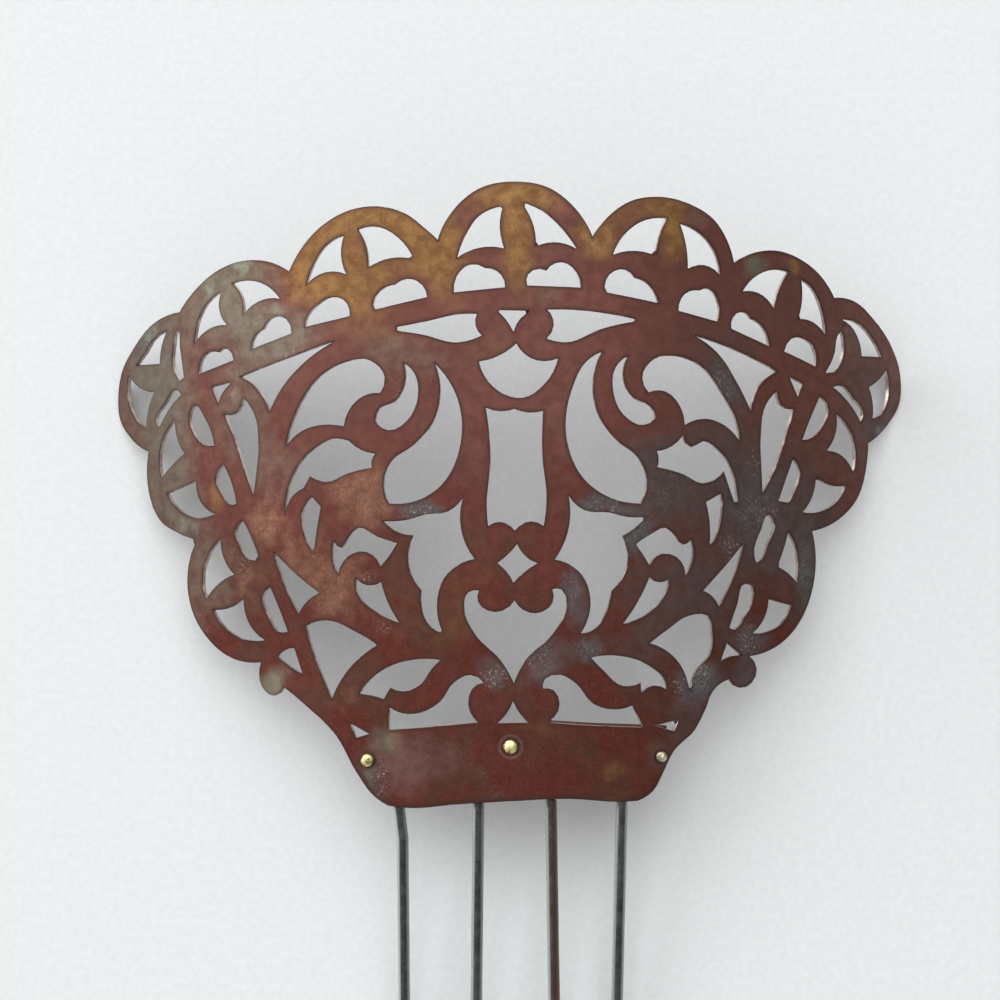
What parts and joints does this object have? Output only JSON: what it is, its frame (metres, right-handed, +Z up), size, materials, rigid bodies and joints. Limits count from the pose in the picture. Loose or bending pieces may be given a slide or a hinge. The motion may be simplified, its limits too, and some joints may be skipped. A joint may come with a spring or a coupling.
{
  "type": "peineta hair comb",
  "caption": "Bent copper hair comb with a scalloped, pierced crest, domed brass rivets on the band and straight steel wire tines.",
  "frame": {"origin": "middle of the footprint, on the surface that the comb lies on", "axes": "+Z up, away from the surface; +Y from the tines toward the top of the crest; +X to the right seen from above"},
  "size_m": [0.1404, 0.1504, 0.0416],
  "materials": {
    "copper_sheet": "patinated copper, worn and finely scratched",
    "steel_wire": "dark drawn wire",
    "rivet_brass": "worn, slightly dull"
  },
  "bodies": {
    "root": {"crest_plate": "copper_sheet", "tine_comb": "steel_wire", "rivet_left": "rivet_brass", "rivet_centre": "rivet_brass", "rivet_right": "rivet_brass"}
  },
  "joints": []
}
